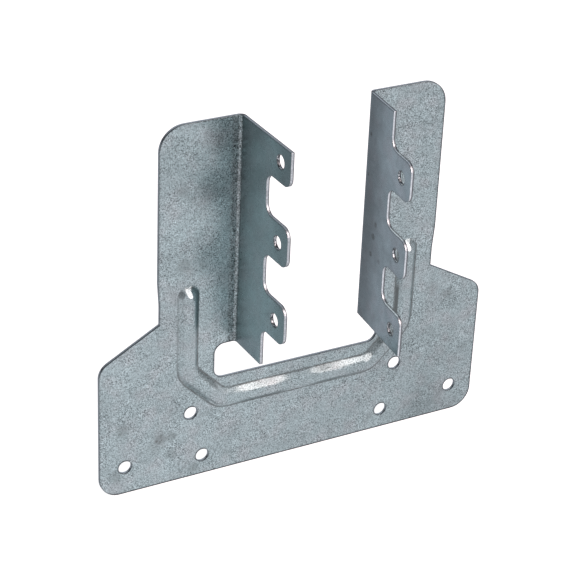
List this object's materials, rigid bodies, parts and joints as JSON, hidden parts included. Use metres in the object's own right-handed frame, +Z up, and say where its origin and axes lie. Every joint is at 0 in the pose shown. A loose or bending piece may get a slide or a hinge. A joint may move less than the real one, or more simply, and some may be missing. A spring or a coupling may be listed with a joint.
{
  "type": "truss clip",
  "caption": "Folded galvanised sheet clip that fixes the foot of a roof truss to a wall plate, with toothed nailing flanges and a pressed stiffening bead.",
  "frame": {"origin": "middle of the plate's bottom edge, on the back face that lies against the wall plate", "axes": "+Z up along the uprights, +X to the right along the plate, +Y out of the back face towards the wall plate; the flanges point to -Y"},
  "size_m": [0.122, 0.0275, 0.11],
  "materials": {
    "galvanised_steel": "hot-dip galvanised, fine dull grain"
  },
  "bodies": {
    "root": {"truss_clip": "galvanised_steel"}
  },
  "joints": []
}
